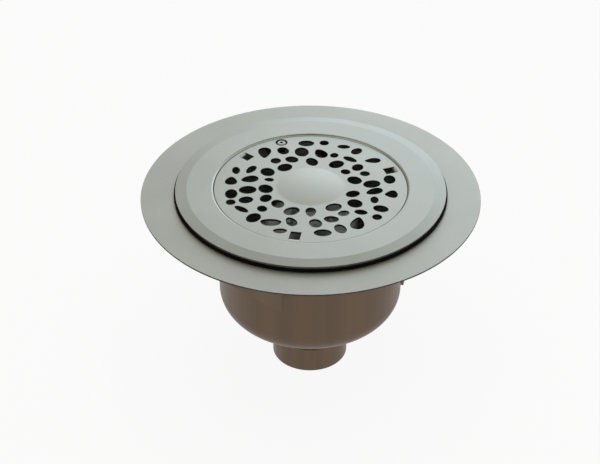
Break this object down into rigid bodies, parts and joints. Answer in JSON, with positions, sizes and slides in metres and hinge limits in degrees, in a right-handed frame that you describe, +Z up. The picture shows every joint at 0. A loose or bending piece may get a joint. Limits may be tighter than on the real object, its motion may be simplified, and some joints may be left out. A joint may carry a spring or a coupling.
{
  "type": "floor gully trap",
  "caption": "Round stainless floor gully with membrane flange, clamp ring over a gasket, lift-out bell trap, vertical outlet and a grate with pebble shaped openings.",
  "frame": {"origin": "middle of the outlet spigot's lower end", "axes": "+Z up along the bowl's axis towards the grate; -Y is the side seen from the front, with the lock screw at the back"},
  "size_m": [0.32, 0.32, 0.1985],
  "materials": {
    "stainless_pickled": "fine matt pickled stainless steel",
    "stainless_drawn": "dull drawn and welded stainless steel",
    "rubber": "matt black EPDM rubber"
  },
  "bodies": {
    "root": {"membrane_flange": "stainless_pickled", "trap_bowl": "stainless_drawn", "outlet_spigot": "stainless_drawn", "anchor_bracket_1": "stainless_drawn", "anchor_bracket_2": "stainless_drawn", "anchor_bracket_3": "stainless_drawn", "clamp_lug_1": "stainless_pickled", "clamp_lug_2": "stainless_pickled", "clamp_lug_3": "stainless_pickled", "clamp_nut_1": "stainless_pickled", "clamp_nut_2": "stainless_pickled", "clamp_nut_3": "stainless_pickled", "sealing_gasket": "rubber", "clamp_ring": "stainless_pickled", "clamp_screw_1": "stainless_pickled", "clamp_screw_2": "stainless_pickled", "clamp_screw_3": "stainless_pickled", "lock_keeper": "stainless_pickled", "keeper_nut": "stainless_pickled", "grate": "stainless_pickled", "lock_screw": "stainless_pickled", "standpipe": "stainless_pickled", "outlet_seal": "rubber", "trap_bell": "stainless_pickled", "bell_fin_1": "stainless_pickled", "bell_fin_2": "stainless_pickled", "bell_fin_3": "stainless_pickled", "lift_handle": "stainless_pickled", "handle_rivet_1": "stainless_pickled", "handle_rivet_2": "stainless_pickled"}
  },
  "joints": []
}
